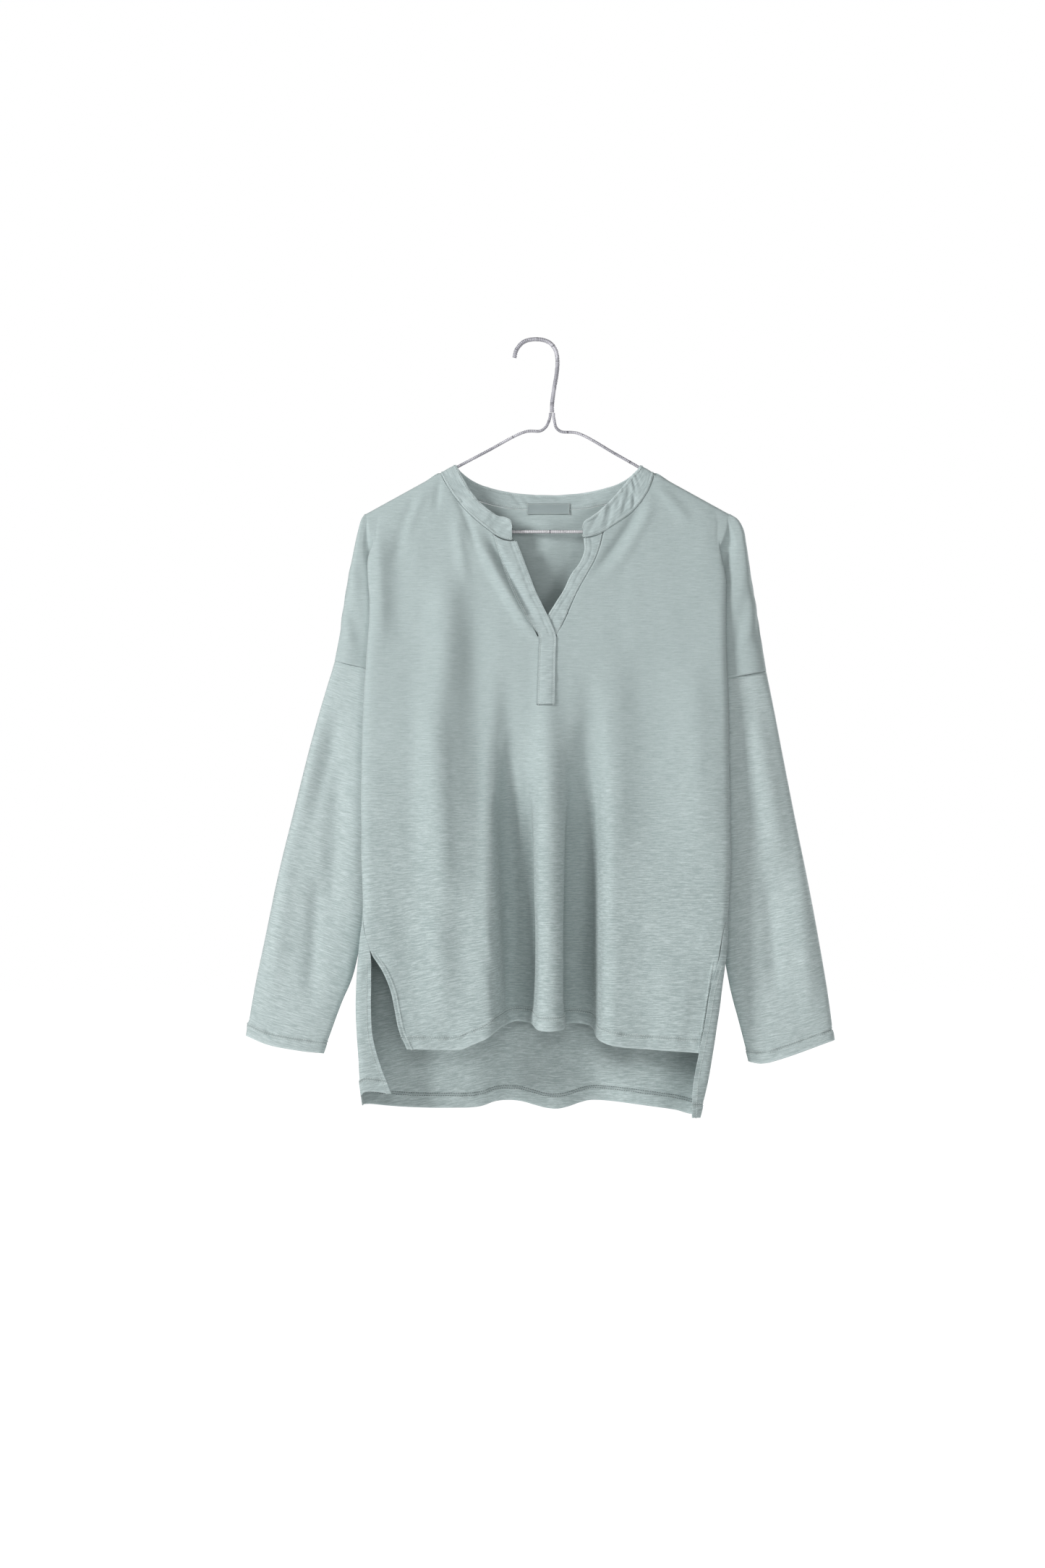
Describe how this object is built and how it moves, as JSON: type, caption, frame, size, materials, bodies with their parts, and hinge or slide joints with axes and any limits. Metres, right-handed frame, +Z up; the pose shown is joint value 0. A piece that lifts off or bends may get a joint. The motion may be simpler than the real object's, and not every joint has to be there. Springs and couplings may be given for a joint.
{
  "type": "henley t-shirt on a wire hanger",
  "caption": "Long-sleeved collarless shirt with an open half placket, side slits and a longer back, hanging on a wire hanger.",
  "frame": {"origin": "inner top of the hanger's hook, where it rests on a rail, on the hook's middle plane", "axes": "+Z up, -Y towards the viewer of the shirt's front, +X to the right as seen from the front"},
  "size_m": [0.6627, 0.0886, 0.8777],
  "materials": {
    "jersey": "matt slub jersey, pale grey-green",
    "label": "satin woven tape",
    "wire": "satin grey, mottled"
  },
  "bodies": {
    "root": {"front_panel": "jersey", "back_panel": "jersey", "sleeve_left": "jersey", "sleeve_right": "jersey", "collar_band": "jersey", "placket_top": "jersey", "placket_under": "jersey", "neck_label": "label", "hanger_frame": "wire", "hanger_hook": "wire"}
  },
  "joints": []
}
